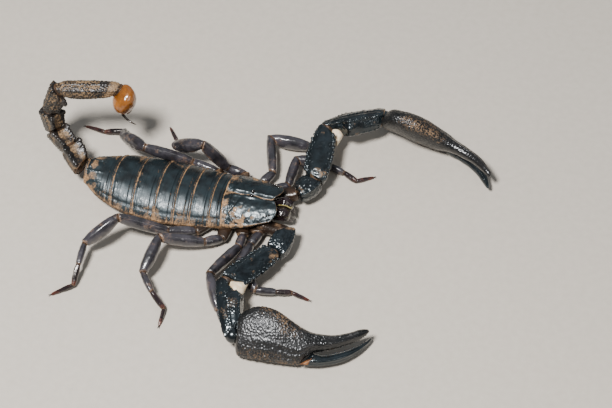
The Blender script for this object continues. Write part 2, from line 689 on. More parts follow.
# keels: angle from the animal's left, round over its back, then how high each stands; the last
# segment has its own
BACK_KEELS = (50, 130)
KEELS = [(50, 0.62), (130, 0.62), (8, 0.2), (172, 0.2), (-42, 0.26), (-138, 0.26), (-74, 0.14), (-106, 0.14)]
LAST_KEELS = [(52, 0.14), (128, 0.14), (-38, 0.28), (-142, 0.28), (-90, 0.2)]
TAIL_HORN = horn(
    "tail_chitin", (0x0B0A0A, 0x211A16), (0x4A3828, 0x967A58), gloss=0.37, grain=0.4, tint=(0.95, 0.97, 1, 1)
)

tail_root = bone(TAIL_BASE, 1.0, 180, 0)
tail = [tail_root] + chain(tail_root.start, [part[0] for part in TAIL], [part[1:3] for part in TAIL])


def tail_segment(i):
    """Segment i: a squared tube with a collar, toothed keels, a trough along its back, and nodules."""
    length, _, _, half, deep = TAIL[i - 1]
    nodule_height, nodule_cover, soiled = TAIL_WEAR[i - 1]
    last = i == 5
    columns = 176
    t, share = capped_rows(length, cap=0.45, pitch=0.11)
    collar = 1 + 0.06 * hill(t - 0.9, 0.06) - 0.05 * hill(t - 0.06, 0.05)
    girth = waist(t, 0.76) * collar * share * (0.94 if last else 0.97)
    half, deep = swell(half, t) * girth, swell(deep, t) * girth
    rings = rings_round(tail[i], joint_planes(tail, i), t, half, deep, squareness=3.0, columns=columns)
    angle = degrees_round(columns)
    row = t[:, None]
    body_zone = step(0.05, 0.16, row) * step(1.0, 0.93, row)
    keels = 0
    for keel, height in LAST_KEELS if last else KEELS:
        width, spacing, rise = 5.5, 0.8, mix(0.8, 1.15, row)
        if keel in BACK_KEELS:
            width, spacing, rise = 10.5, 1.15, mix(0.65, 1.3, row**1.5)
        teeth = 0.5 + 0.5 * np.abs(np.sin(np.pi * row * length / spacing + keel)) ** 0.7
        keels = keels + height * ridges(angle, [keel], width) * teeth * rise
    trough = ridges(angle, [90], 22) * np.sin(np.pi * np.clip(row, 0, 1)) ** 0.6
    lobes = 0.0 if last else ridges(angle, BACK_KEELS, 14) * hill(row - 0.87, 0.09)
    if i == 1:
        lobes = lobes + 0.9 * ridges(angle, (54, 126), 12) * hill(row - 0.52, 0.12)
    nodules = grains(rings, 0.58 if last else 0.66, 70 + i)
    relief = keels - (0.2 if last else 0.42) * trough - 0.1
    relief = relief + nodule_height * nodules + 0.05 * drift(rings, 1.1, 80 + i)
    rings = raised(rings, body_zone * relief + 0.5 * lobes * share[:, None])
    hollow = 1 - step(0.04, 0.2, keels + 0.6 * lobes + nodule_cover * nodules)
    dust = soiled * (0.1 + 0.62 * hollow + 0.25 * trough) * (0.8 + 0.6 * drift(rings, 1.6, 90 + i))
    dust = dust * step(1.03, 0.9, row) - 0.3 * step(0.4, 0.9, keels / 0.5)
    if i < 4:
        dust = dust - 0.3 * step(0.2, -0.6, np.sin(np.radians(angle)))
    if last:
        dust = dust + 0.6 * hill(row - 0.88, 0.08) - 0.35 * hill(row - 0.72, 0.06)
    return tube_body(rings, dust)


for i in range(1, 6):
    make_piece(f"tail_segment_{i}", tail_segment(i), TAIL_HORN, [f"metasoma_{i}"])
    if i > 1:
        joint_skin(tail, i, 0.8 * TAIL[i - 1][3][0], 0.8 * TAIL[i - 1][4][0], 1.1)
joint_skin(tail, 1, 2.6, 2.4, 0.95)


# ================================================================ sting
# The venom bulb is thin translucent orange chitin over its glands, glossy and faintly creased. The
# sting is one solid curved needle, dark at its tip.

BULB_RADIUS = 3.15
# how far the bulb's middle lies off the line from its root to its end
BULB_SAG = 1.9
# how far the bulb's end is drawn along +X and to the left
BULB_BEND = np.array([1.2, 0.3, 0.0])


def amber_chitin(name):
    """Thin orange chitin: IOR 1.56, glossy, with a little light passing under its surface."""
    material, tree, shader, place = new_finish(
        name,
        {
            "Roughness": 0.24,
            "IOR": CHITIN_IOR,
            "Subsurface Weight": 0.12,
            "Subsurface Radius": (1.0, 0.45, 0.15),
            "Subsurface Scale": 0.8 * MM,
            "Coat Weight": 0.5,
            "Coat Roughness": 0.1,
        },
    )
    cloud = add_node(tree, "ShaderNodeTexNoise", {"Vector": place, "Scale": 1 / (2.2 * MM), "Detail": 3.0})
    stops = [(0.3, 0x6A3A0E), (0.7, 0x9A5E1E)]
    tone = add_node(tree, "ShaderNodeValToRGB", {"Fac": cloud.outputs["Fac"]}, stops)
    dark = add_node(tree, "ShaderNodeAttribute", attribute_name="dust")
    blend = {0: dark.outputs["Fac"], 6: tone.outputs["Color"], 7: linear(0x1A0D08)}
    colour = add_node(tree, "ShaderNodeMix", blend, data_type="RGBA")
    pores = add_node(tree, "ShaderNodeTexNoise", {"Vector": place, "Scale": 1 / (0.5 * MM), "Detail": 3.0})
    pits = {"Height": pores.outputs["Fac"], "Strength": 0.25, "Distance": 0.08 * MM}
    relief = add_node(tree, "ShaderNodeBump", pits)
    tree.links.new(colour.outputs[2], shader.inputs["Base Color"])
    tree.links.new(relief.outputs["Normal"], shader.inputs["Normal"])
    return material


AMBER = amber_chitin("amber_chitin")

columns = 96
t, share = capped_rows(TAIL[5][0], cap=0.4, pitch=0.12)
row = t[:, None]
ball = np.sqrt(np.clip(1 - np.abs(2 * t / 0.92 - 1) ** 2.3, 0, 1))
bulb = np.sqrt((BULB_RADIUS * ball) ** 2 + mix(1.1, 0.85, t) ** 2) * share
rings = rings_round(
    tail[6], joint_planes(tail, 6), t, bulb, bulb, columns=columns, lift=-BULB_SAG * np.sin(np.pi * t)
)
rings = rings + (row**1.5)[..., None] * BULB_BEND
angle = degrees_round(columns)
creases = ridges(angle, (-90, -50, -130), 5) * np.sin(np.pi * row)
pits = grains(rings, 0.9, 102) * np.sin(np.pi * row)
relief = (-0.06 * creases + 0.05 * drift(rings, 1.2, 101) - 0.05 * pits) * share[:, None]
bulb_dark = (
    0.55 * step(0.84, 1.0, row)
    + 0.3 * step(0.14, 0.0, row)
    + 0.22 * step(0.2, 1.0, -np.sin(np.radians(angle)))
    + 0.1 * creases
)
make_piece("venom_bulb", tube_body(raised(rings, relief), bulb_dark), AMBER, ["telson_vesicle"])
joint_skin(tail, 6, 1.7, 1.7, 0.9)

NEEDLE_RADII = (0.85, 0.14)
# the needle's curve, given by four points in the plan: root, two that pull it, and tip
NEEDLE = np.array([[-33.0, 12.5, 19.2], [-34.0, 13.0, 16.6], [-32.0, 12.4, 14.6], [-28.9, 11.4, 15.2]])


def along_curve(pulls, t):
    """Points of the cubic curve through the first and last of four points, pulled by the two between."""
    weights = [(1 - t) ** 3, 3 * t * (1 - t) ** 2, 3 * t * t * (1 - t), t**3]
    return sum(w[:, None] * p for w, p in zip(weights, pulls))


def tube_along(path, radii, columns):
    """Rings of the given radii square to a path, closed at both ends where the radius is nothing."""
    way = np.gradient(path, axis=0)
    way /= np.linalg.norm(way, axis=1, keepdims=True)
    across = np.cross(way, [0.0, 0.0, 1.0])
    across /= np.maximum(np.linalg.norm(across, axis=1, keepdims=True), 1e-6)
    up = np.cross(across, way)
    turn = np.arange(columns) / columns * 2 * np.pi
    ring = np.cos(turn)[None, :, None] * across[:, None] + np.sin(turn)[None, :, None] * up[:, None]
    return path[:, None] + radii[:, None, None] * ring


t = np.linspace(0, 1, 60)
needle = mix(*NEEDLE_RADII, t**0.6) * np.sqrt(np.minimum(1, 16 * t) * np.minimum(1, 10 * (1 - t)))
rings = tube_along(along_curve(NEEDLE, t), needle, 28)
make_piece("sting_needle", tube_body(rings, step(0.0, 0.3, t)[:, None]), AMBER, ["aculeus"])


# ================================================================ legs
# Eight walking legs of waxy dark grey chitin, each of trochanter, femur, patella, tibia and a
# two-part foot. Their ends are rimmed with paler, thinner horn, and the feet are reddish.

# where the first coxa begins on the left side, and how far behind it each next one begins
COXA_ROOT = [6.5, 2.0, 2.3]
COXA_STEP = 1.9
# where each coxa ends on the left side, and the six lengths from there
COXA_ENDS = [[11.2, 7.9, 2.9], [7.2, 9.6, 2.7], [1.6, 11.6, 2.5], [-6.0, 10.8, 2.4]]
LEG_LENGTHS = [
    [4.2, 8.4, 9.0, 5.3, 4.3, 5.2],
    [4.4, 11.8, 11.2, 5.9, 4.8, 5.0],
    [5.0, 12.6, 10.9, 5.9, 5.7, 5.1],
    [7.6, 14.4, 11.4, 6.2, 5.7, 6.4],
]
# half width and half depth of each length, and its swelling in the middle
LEG_HALF = [1.3, 1.35, 1.3, 0.95, 0.8, 0.68]
LEG_DEEP = [1.45, 1.75, 1.65, 1.08, 0.88, 0.72]
LEG_PLUMP = [1.0, 1.04, 1.3, 1.0, 1.0, 1.0]
TOE_HEIGHT = 0.25
CLAW_RISE = 0.12
# three claws of each foot: side, set back, length, width, droop
FOOT_CLAWS = [(-1, 0.35, 1.15, 0.14, 0.2), (1, 0.35, 1.15, 0.14, 0.2), (0, 0.3, 0.5, 0.16, 0.3)]
# yaw and pitch of each length from the front leg to the rear one; the last has its yaw alone
LEG_POSES = {
    "right": [
        [[-105, 0], [-98, 3], [-42, -2], [15, -10], [20, -12], [-8]],
        [[-91, 10], [-114, 1], [-62, -9], [-52, -7], [-26, -4], [-12]],
        [[-141, 12], [-158, 18], [-98, -13], [-50, -12], [-35, -26], [-88]],
        [[-155, 12], [-165, 25], [-134, -22], [-88, -12], [-92, -33], [-143]],
    ],
    "left": [
        [[36, 4], [87, 9], [18, -18], [-12, -5], [-22, -7], [33]],
        [[60, 10], [107, 3], [8, -7], [75, -12], [60, -9], [30]],
        [[168, 4], [201, 58], [166, -31], [105, -50], [106, -36], [128]],
        [[171, 5], [196, 27], [146, -21], [105, -38], [190, -8], [170]],
    ],
}
LEG_HORN = horn(
    "leg_chitin", (0x1C1B1F, 0x3A373D), (0x5A4639, 0x927660), gloss=0.31, grain=0.5,
    dusty_gloss=0.5, bump=0.4, tint=(0.95, 0.97, 1, 1), wax=0.5,
)
FOOT_HORN = horn(
    "foot_chitin", (0x130F11, 0x2A1E22), (0x2A1410, 0x54281C), gloss=0.27, grain=0.5,
    dusty_gloss=0.35, bump=0.2, tint=(1, 0.95, 0.92, 1),
)


def side_point(place, side):
    """A point given for the left side, on the side that is asked for."""
    return np.array([place[0], place[1] * (1 if side == "left" else -1), place[2]])


def leg_bones(side, n):
    """Coxa and six lengths of a leg; the last comes down so that the toe rests on the floor."""
    lengths, poses = LEG_LENGTHS[n], LEG_POSES[side][n]
    end = side_point(COXA_ENDS[n], side)
    upper = chain(end, lengths[:5], poses[:5])
    fall = math.degrees(math.asin((upper[4].end[2] - TOE_HEIGHT) / lengths[5]))
    root = [COXA_ROOT[0] - COXA_STEP * n, *COXA_ROOT[1:]]
    coxa = bone_to(side_point(root, side), end)
    return [coxa] + upper + [bone(upper[4].end, lengths[5], poses[5][0], -fall)]


def leg_length(bones, i, seed):
    """One length of a leg: an oval tube, swollen in its middle, ridged above and below, and rimmed."""
    t, share = capped_rows(bones[i].length, cap=0.3, pitch=0.2)
    columns = 46
    body = waist(t, 0.72, 5.0) * (0.9 + (LEG_PLUMP[i - 1] - 0.9) * np.sin(np.pi * t)) * share
    rim = 1 + 0.09 * (hill(t - 0.95, 0.025) + 0.6 * hill(t - 0.05, 0.03))
    girth = body * rim * (mix(1.0, 0.62, t) if i == 6 else 1.0)
    half, deep = LEG_HALF[i - 1] * girth, LEG_DEEP[i - 1] * girth
    rings = rings_round(bones[i], joint_planes(bones, i), t, half, deep, squareness=2.2, columns=columns)
    angle = degrees_round(columns)
    row = t[:, None]
    relief = 0.08 * ridges(angle, (66, 114, -90), 7)
    relief = relief + 0.07 * drift(rings, 0.9, seed) + 0.03 * drift(rings, 0.45, seed + 2)
    rings = raised(rings, relief * np.sin(np.pi * row) ** 0.5)
    if i < 5:
        ends = step(0.92, 1.0, row) + 0.8 * step(0.07, 0.0, row)
        under = step(-0.1, -0.9, np.sin(np.radians(angle)))
        dust = 0.6 * ends + 0.34 * under + 0.08 + 0.34 * drift(rings, 1.5, seed + 1)
    else:
        worn = 0.0 if i == 5 else 0.25
        dust = worn + 0.55 * step(0.5, 1.0, row) + 0.25 * drift(rings, 1.2, seed + 1)
    return tube_body(rings, dust)


def claw_body(root, forward, side_way, length, width, droop):
    """A curved horn: rings that shrink to a point along an arc bending down by `droop` of its length."""
    t = np.linspace(0, 1, 14)
    path = root + forward * (length * np.sin(t * 1.2) / np.sin(1.2))[:, None]
    path = path + side_way * (0.25 * length * t)[:, None]
    path = path - np.array([0, 0, 1]) * (droop * length * t**2)[:, None]
    turn = np.arange(10) / 10 * 2 * np.pi
    girth = width * np.sqrt(np.maximum(0, np.minimum(1, 8 * t))) * (1 - t) ** 0.7
    across = np.cross(forward, [0, 0, 1.0])
    across /= np.linalg.norm(across)
    up = np.cross(across, forward)
    ring = np.cos(turn)[None, :, None] * across + np.sin(turn)[None, :, None] * up
    return tube_body(path[:, None, :] + girth[:, None, None] * ring, 0.1)


leg_chains = {}
for side, n in itertools.product(("left", "right"), range(4)):
    bones = leg_bones(side, n)
    leg_chains[side, n] = bones
    seed = 200 + 40 * n + (20 if side == "left" else 0)
    lengths = [leg_length(bones, i, seed + 2 * i) for i in range(1, 7)]
    tip = bones[6].end + np.array([0, 0, CLAW_RISE])
    heading = bones[6].forward * (1, 1, 0)
    heading /= np.linalg.norm(heading)
    across = np.array([-heading[1], heading[0], 0.0])
    claws = [
        claw_body(tip - heading * back, heading, across * way, length, width, droop)
        for way, back, length, width, droop in FOOT_CLAWS
    ]
    tag = f"leg_{side}_{n + 1}"
    make_piece(f"{tag}_upper", joined(lengths[:2]), LEG_HORN, [f"{tag}_femur"])
    make_piece(f"{tag}_knee", lengths[2], LEG_HORN, [f"{tag}_patella"])
    make_piece(f"{tag}_shin", lengths[3], LEG_HORN)
    make_piece(f"{tag}_toes", joined(lengths[4:] + claws), FOOT_HORN, [f"{tag}_foot"])
    for i in range(1, 7):
        narrow, shallow = [0.8 * min(sizes[max(i - 2, 0)], sizes[i - 1]) for sizes in (LEG_HALF, LEG_DEEP)]
        joint_skin(bones, i, narrow, shallow, 0.7)


# ================================================================ pedipalps
# Two arms end in the great claws: a round trochanter, a flat-topped femur and patella edged with
# rows of blunt granules, and a swollen, grained hand that ends in a fixed finger, with a movable
# finger hinged beside it. Both fingers carry a row of small teeth.

PALP_COXA_ROOT = [10.5, 4.9, 3.4]
PALP_COXA_RISE = 9
# shoulder, knee of trochanter and femur, elbow, wrist, tip of the claw
ARM_JOINTS = {
    "left": [
        [18.2, 7.0, 5.0], [21.7, 12.2, 5.2], [20.8, 28.8, 8.6], [35.39, 37.35, 7.67], [68.28, 23.38, 3.28],
    ],
    "right": [
        [18.2, -7.0, 5.0], [17.5, -14.6, 5.2], [8.0, -28.3, 7.6], [13.92, -42.86, 5.04], [48.31, -32.67, 1.9],
    ],
}
# degrees by which the inner edge of trochanter, femur and patella is lifted, and that of the hand
ARM_ROLL = {"left": [0, 0, 28], "right": [-10, -22, 12]}
CHELA_ROLL = {"left": 59, "right": 39}
# share of the length, inner edge, outer edge, half thickness
TROCHANTER = [
    [0, 2.0, -1.9, 1.9], [0.17, 2.9, -2.2, 2.4], [0.5, 3.5, -2.5, 2.7], [0.83, 3.1, -2.6, 2.5],
    [1, 2.2, -2.0, 1.9],
]
FEMURS = {
    "left": [
        [0, 2.4, -2.2, 1.8], [0.09, 3.2, -2.9, 2.3], [0.29, 3.7, -3.5, 2.6], [0.52, 3.8, -3.5, 2.7],
        [0.76, 3.2, -2.7, 2.5], [0.93, 2.2, -1.8, 2.2], [1, 1.5, -1.2, 1.6],
    ],
    "right": [
        [0, 1.6, -2.0, 1.6], [0.09, 2.3, -2.5, 2.1], [0.29, 3.1, -2.9, 2.3], [0.52, 3.5, -2.8, 2.4],
        [0.76, 3.7, -2.6, 2.3], [0.93, 3.5, -2.2, 2.1], [1, 2.7, -1.7, 1.6],
    ],
}
PATELLA_NECK = [[0, 0.4, -1.5, 1.3], [0.08, 0.5, -2.2, 1.7], [0.18, 0.9, -2.7, 2.1], [0.26, 2.0, -2.9, 2.6]]
PATELLAS = {
    "left": PATELLA_NECK + [
        [0.33, 3.6, -3.1, 3.0], [0.42, 3.8, -3.1, 3.1], [0.55, 3.5, -3.1, 3.1], [0.74, 3.2, -3.0, 2.9],
        [0.93, 2.8, -2.9, 2.6], [1.03, 2.3, -2.4, 2.1],
    ],
    "right": PATELLA_NECK + [
        [0.33, 3.5, -3.1, 3.0], [0.42, 3.7, -3.1, 3.1], [0.55, 3.4, -3.0, 3.1], [0.74, 3.0, -2.8, 2.9],
        [0.92, 2.4, -2.2, 2.3], [1, 1.6, -1.5, 1.6],
    ],
}
# the ball that fills the wrist, and how far past the joint its centre lies
WRIST_RADIUS = 2.15
WRIST_PAST = 0.3
# rows of granules on trochanter (none), femur and patella: degrees round the length, spacing, radius
GRANULES = [
    [],
    [(34, 0.95, 0.55), (48, 1.5, 0.36), (20, 1.4, 0.36), (142, 0.95, 0.45), (128, 1.6, 0.3)],
    [(40, 1.1, 0.3), (142, 1.0, 0.2), (92, 1.6, 0.24)],
]
# distance along the hand, inner edge, outer edge, half thickness
HAND = [
    [0.4, 2.8, -4.8, 2.5], [2.0, 5.2, -5.6, 2.9], [4.5, 7.0, -6.0, 3.1], [7.2, 7.5, -6.3, 3.3],
    [11.2, 6.5, -6.8, 3.4], [15.0, 4.0, -7.1, 3.0], [17.2, 2.6, -6.9, 2.7], [18.6, 1.9, -5.3, 2.4],
    [20.5, 1.2, -4.1, 1.9], [23.0, 0.8, -3.5, 1.6], [26.0, 0.7, -2.8, 1.4], [28.3, 1.0, -2.1, 1.25],
    [30.5, 1.5, -1.3, 1.15], [32.5, 2.1, -0.5, 1.0], [34.2, 2.3, 0.6, 0.8], [35.3, 2.3, 1.3, 0.6],
]
FINGER = [
    [18.6, -5.2, -7.2, 1.5], [20.0, -4.5, -7.4, 1.9], [23.0, -4.7, -7.3, 1.8], [27.0, -4.0, -6.6, 1.6],
    [31.0, -2.8, -5.0, 1.3], [34.6, -1.1, -2.6, 0.9], [36.4, 0.1, -1.0, 0.5],
]
# distance along the hand, and how far hand and finger bow out along their back there
HAND_BOW = [[0, 0.3], [5, 1.7], [11, 2.9], [18, 3.9], [24, 4.6], [29, 4.6], [33.5, 3.7], [36, 2.9]]
FINGER_BOW = [[18, 3.8], [24, 4.1], [29, 3.5], [33, 2.0], [36.4, 0.2]]
# stretch of the hand's length where the fingers carry teeth, and how many
TOOTHED = (20.5, 34.4)
TEETH = 24
CLAW_HORN = horn("claw_chitin", (0x07090B, 0x151C20), (0x3E2F22, 0x86694A), gloss=0.25, grain=0.4, wax=0.3)
HAND_HORN = horn(
    "hand_chitin", (0x070808, 0x191818), (0x2E2118, 0x84694C), gloss=0.24, grain=0.4,
    tint=(0.92, 0.95, 1, 1), wax=0.12,
)


def rolled(one, side, degrees):
    """Unit vectors to a length's inner edge and out of its back, once it is rolled about itself."""
    roll = math.radians(degrees)
    inner = -one.left if side == "left" else one.left
    inward = inner * math.cos(roll) + one.top * math.sin(roll)
    return inward, one.top * math.cos(roll) - inner * math.sin(roll)


def edge_rings(one, planes, ways, outline, bow, caps, pitch, columns, slant=0.0, squareness=2.2):
    """Rings whose inner edge, outer edge and thickness follow an outline along one length.

    `ways` point inward and out of the back. Rings near a joint lean onto its plane, `bow` moves them
    out along their back, `caps` rounds both ends, and `slant` sets the inner edge of the first
    rings on and the outer edge back.
    """
    inward, back = ways
    span = outline[-1][0] - outline[0][0]
    t, share = capped_rows(span, caps, pitch)
    place = outline[0][0] + t * span
    inner, outer, thick = smooth_through(outline, place).T
    unit_across, unit_up = oval(columns, squareness)
    across = ((inner + outer) / 2)[:, None] + ((inner - outer) / 2 * share)[:, None] * unit_across
    offset = across[..., None] * inward + ((thick * share)[:, None] * unit_up)[..., None] * back
    turn = np.radians(degrees_round(columns))
    along = place[:, None] + slant * np.cos(turn) * (share * step(6.0, 0.0, place - place[0]))[:, None]
    for plane, from_joint in [(planes[0], place), (planes[1], one.length - place)]:
        if plane is not None:
            lean = (offset @ plane) / (one.forward @ plane)
            along = along - np.clip(lean, -3.0, 3.0) * step(4.0, 0.0, from_joint)[:, None]
    rise = smooth_through(bow, place)[:, 0][:, None, None] if bow else 0.0
    return one.start + along[..., None] * one.forward + offset + rise * back, place, share


def granule_row(rings, at_angle, place, spacing, radius, seed):
    """Blunt granules half sunk in a surface, one every `spacing` along it, at about one angle round it."""
    index = np.arange(int((place[-1] - place[0] - 2.5) / spacing))
    cells = [np.stack(np.broadcast_arrays(index, k, 0), axis=-1) for k in range(3)]
    shift, swing, growth = [hashed(cell, seed) for cell in cells]
    at = place[0] + 1.6 + spacing * (index + 0.7 * (shift - 0.5))
    column = ((at_angle + 9 * (swing - 0.5)) / 360 * rings.shape[1]).astype(int) % rings.shape[1]
    centre = rings[np.searchsorted(place, at), column]
    return joined([ball_body(p, r, 11, 14) for p, r in zip(centre, radius * (0.75 + 0.5 * growth))])


def finger_teeth(hand, ways, outline, edge, bow, big):
    """A row of low round teeth along one edge of a finger, every fourth one bigger."""
    at = np.linspace(*TOOTHED, TEETH)
    path = hand.start + at[:, None] * hand.forward + smooth_through(outline, at)[:, edge, None] * ways[0]
    path = path + smooth_through(bow, at) * ways[1]
    radii = 0.2 + 0.1 * (np.arange(TEETH) % 4 == big)
    return joined([ball_body(p, r, 6, 8) for p, r in zip(path, radii)])


def arm_length(bones, i, side, shares):
    """Trochanter, femur or patella (i = 1, 2, 3): crests above and below, grain, granules and soil."""
    one = bones[i]
    columns = 132
    outline = [[row[0] * one.length, *row[1:]] for row in shares]
    ways = rolled(one, side, ARM_ROLL[side][i - 1])
    rings, place, _ = edge_rings(
        one, joint_planes(bones, i), ways, outline, bow=None, caps=0.6, pitch=0.14, columns=columns,
        squareness=2.3 if i == 1 else 2.8,
    )
    angle = degrees_round(columns)
    row = place[:, None] / one.length
    zone = step(0.02, 0.1, row) * step(1.0, 0.93, row)
    crest = ridges(angle, (38, 142), 6.5)
    lower = ridges(angle, (-38, -142), 6.0)
    knots = np.abs(np.sin(np.pi * (place + 0.35 * np.sin(2.3 * place)) / 1.05))[:, None] ** 0.7
    nodules = grains(rings, 0.7, 300 + 10 * i)
    scattered = step(0.35, 0.7, drift(rings, 2.0, 305 + i) + 0.4) * nodules
    relief = zone * (
        crest * (0.12 + 0.26 * knots)
        + 0.25 * lower * (0.3 + 0.7 * knots)
        - 0.22 * ridges(angle, [90], 28)
        + (0.2 * nodules if i == 1 else 0.12 * scattered)
        + 0.07 * drift(rings, 1.5, 310 + i)
        + 0.02 * drift(rings, 0.5, 311 + i)
    )
    base_soil = hill(row - 0.12, 0.1) * ridges(angle, [60], 50)
    if i == 3:
        relief = relief + 0.4 * ridges(angle, [0], 14) * hill(row - 0.36, 0.07)
        relief = relief + 0.35 * zone * ridges(angle, [90], 8) * step(0.1, 0.3, row) * (0.4 + 0.3 * knots)
        base_soil = 0.0
    rings = raised(rings, relief)
    dust = (
        0.8 * base_soil * (0.55 + 0.9 * drift(rings, 0.9, 320 + i))
        + 0.5 * step(0.975, 1.0, row)
        + 0.4 * step(0.03, 0.0, row)
        + 0.3 * step(0.2, 0.8, drift(rings, 1.6, 330 + i))
        - 0.4 * crest
        + 0.25 * step(-0.2, -0.9, np.sin(np.radians(angle)))
    )
    bodies = [tube_body(rings, dust)]
    for at, spacing, radius in GRANULES[i - 1]:
        bodies.append(granule_row(rings, at, place, spacing, radius, 320 + 10 * i + at))
    if i == 3:
        bodies.append(ball_body(one.end + one.forward * WRIST_PAST, WRIST_RADIUS, 24, 36))
    return joined(bodies)


def palm_and_finger(hand, ways):
    """Palm and fixed finger in one: coarse grain outside, fine grain inside, knotted lines, ridged finger."""
    columns = 250
    rings, place, share = edge_rings(
        hand, (None, None), ways, HAND, HAND_BOW, caps=0.8, pitch=0.135, columns=columns
    )
    angle = degrees_round(columns)
    row = place[:, None]
    palm = step(0.6, 1.6, row) * step(22.0, 16.0, row)
    on_finger = step(14.0, 19.0, row)
    fine = grains(rings, 0.5, 402)
    outer_zone = step(75, 125, angle) * step(330, 240, angle)
    lumps = mix(fine, grains(rings, 0.66, 401), outer_zone)
    lines = ridges(angle, (104, 124, 144, 166), 5.0) * step(2.0, 6.0, row)
    knots = np.abs(np.sin(np.pi * (row + 0.4 * np.sin(1.9 * row)) / 0.95)) ** 0.7
    finger_ridge = ridges(angle, [96], 15) + ridges(angle, [40], 9)
    relief = (
        palm * (mix(0.15, 0.21, outer_zone) * lumps + 0.18 * lines * (0.25 + 0.75 * knots))
        + on_finger * step(35.2, 31, row) * 0.2 * finger_ridge * (0.7 + 0.3 * knots)
        - on_finger * 0.1 * ridges(angle, [68], 9)
        + 0.05 * step(16, 22, row) * fine
        + 0.08 * drift(rings, 2.4, 403)
    )
    rings = raised(rings, relief * share[:, None])
    gaps = 1 - step(0.05, 0.4, lumps)
    band = ridges(angle, [2], 26) * step(4.5, 9.0, row) * step(21.0, 16.5, row)
    patch = ridges(angle, [52], 24) * hill(row - 13.2, 3.2)
    outward = rings - rings.mean(axis=1, keepdims=True)
    under = step(0.2, -0.7, outward[..., 2] / np.linalg.norm(outward, axis=2).clip(1e-6))
    dust = (
        palm * 0.12 * gaps
        + (0.85 * band + 0.6 * patch) * (0.45 + 0.55 * gaps) * (0.85 + 0.6 * drift(rings, 1.6, 404))
        + 0.08 * step(0.0, 0.6, drift(rings, 1.5, 405))
        - 0.35 * palm * step(0.3, 0.7, lumps)
        + 0.46 * under * (0.75 + 0.4 * drift(rings, 1.2, 406))
    )
    teeth = finger_teeth(hand, ways, HAND, 1, HAND_BOW, 0)
    return joined([tube_body(rings, dust, palm * step(1.0, 0.2, band)), teeth])


def movable_finger(hand, ways):
    """The movable finger: a slanted root with a boss, three long ridges, and fine grain near the root."""
    columns = 120
    rings, place, share = edge_rings(
        hand, (None, None), ways, FINGER, FINGER_BOW, caps=0.9, pitch=0.125, columns=columns, slant=1.0
    )
    angle = degrees_round(columns)
    row = place[:, None]
    relief = (
        0.16 * ridges(angle, [90], 20)
        + 0.13 * ridges(angle, [150], 9)
        + 0.1 * ridges(angle, [35], 8)
        - 0.09 * ridges(angle, [120], 9)
        + 0.06 * grains(rings, 0.55, 411) * step(30, 20, row)
        + 0.05 * drift(rings, 1.5, 412)
        + 0.5 * ridges(angle, [10], 22) * hill(row - 19.4, 0.8)
    )
    rings = raised(rings, relief * share[:, None] * step(36.2, 33, row))
    dust = 0.15 * step(19.4, 18.4, row) + 0.15 * step(0, 0.6, drift(rings, 1.4, 413)) + 0.02
    return joined([tube_body(rings, dust), finger_teeth(hand, ways, FINGER, 0, FINGER_BOW, 2)])


palp_chains, hands = {}, {}
for side, points in ARM_JOINTS.items():
    bones = [bone_to(side_point(PALP_COXA_ROOT, side), points[0], PALP_COXA_RISE)]
    bones += [bone_to(a, b) for a, b in zip(points, points[1:])]
    palp_chains[side] = bones
    lengths = {"trochanter": TROCHANTER, "femur": FEMURS[side], "patella": PATELLAS[side]}
    for i, (name, shares) in enumerate(lengths.items(), start=1):
        body = arm_length(bones, i, side, shares)
        make_piece(f"palp_{side}_{name}", body, CLAW_HORN, [f"pedipalp_{side}_{name}"])
        if i > 1:
            joint_skin(bones, i, 1.4, 1.3, 1.5)
    ways = rolled(bones[4], side, CHELA_ROLL[side])
    hands[side] = (bones[4], ways)
    body = palm_and_finger(bones[4], ways)
    make_piece(f"hand_{side}", body, HAND_HORN, [f"pedipalp_{side}_hand"])
    body = movable_finger(bones[4], ways)
    make_piece(f"finger_{side}", body, CLAW_HORN, [f"pedipalp_{side}_finger"])


# ================================================================ jaws
# Each jaw is a short glossy block under the shield's front edge with two hooked fingers. Yellow
# bristles fringe the inner side, where it strains food, and are drawn as a band of pale specks.

# place along +X, middle across, middle height, half width, half depth
JAW = [
    [11.4, 1.8, 4.4, 0.9, 0.9], [12.8, 1.8, 4.7, 1.2, 1.2], [14.2, 1.85, 5.2, 1.45, 1.5],
    [15.4, 1.9, 5.6, 1.55, 1.75], [16.8, 1.9, 5.65, 1.5, 1.75], [17.8, 1.75, 5.3, 1.25, 1.4],
    [18.5, 1.6, 5.0, 0.9, 1.0],
]
# fixed and movable hook: root, heading, length, width, droop
JAW_HOOKS = [
    ([17.6, 1.2, 5.1], [0.8, -0.2, -0.75], 2.2, 0.5, 0.3),
    ([17.5, 2.2, 4.9], [0.8, -0.35, -0.8], 2.1, 0.55, 0.25),
]
JAW_HORN = horn(
    "jaw_chitin", (0x0C090B, 0x241A1D), (0x7A6A3A, 0xC4B878), gloss=0.17, grain=0.4,
    dusty_gloss=0.4, bump=0.25, tint=(1, 0.97, 0.95, 1), wax=0.7,
)


def rings_along_x(x, middle_y, middle_z, half, deep, squareness, columns):
    """Ovals square to +X, each with its middle and its half sizes given as arrays along x."""
    unit_across, unit_up = oval(columns, squareness)
    y = np.reshape(middle_y, (-1, 1)) + half[:, None] * unit_across
    z = np.reshape(middle_z, (-1, 1)) + deep[:, None] * unit_up
    return np.stack(np.broadcast_arrays(x[:, None], y, z), axis=-1)


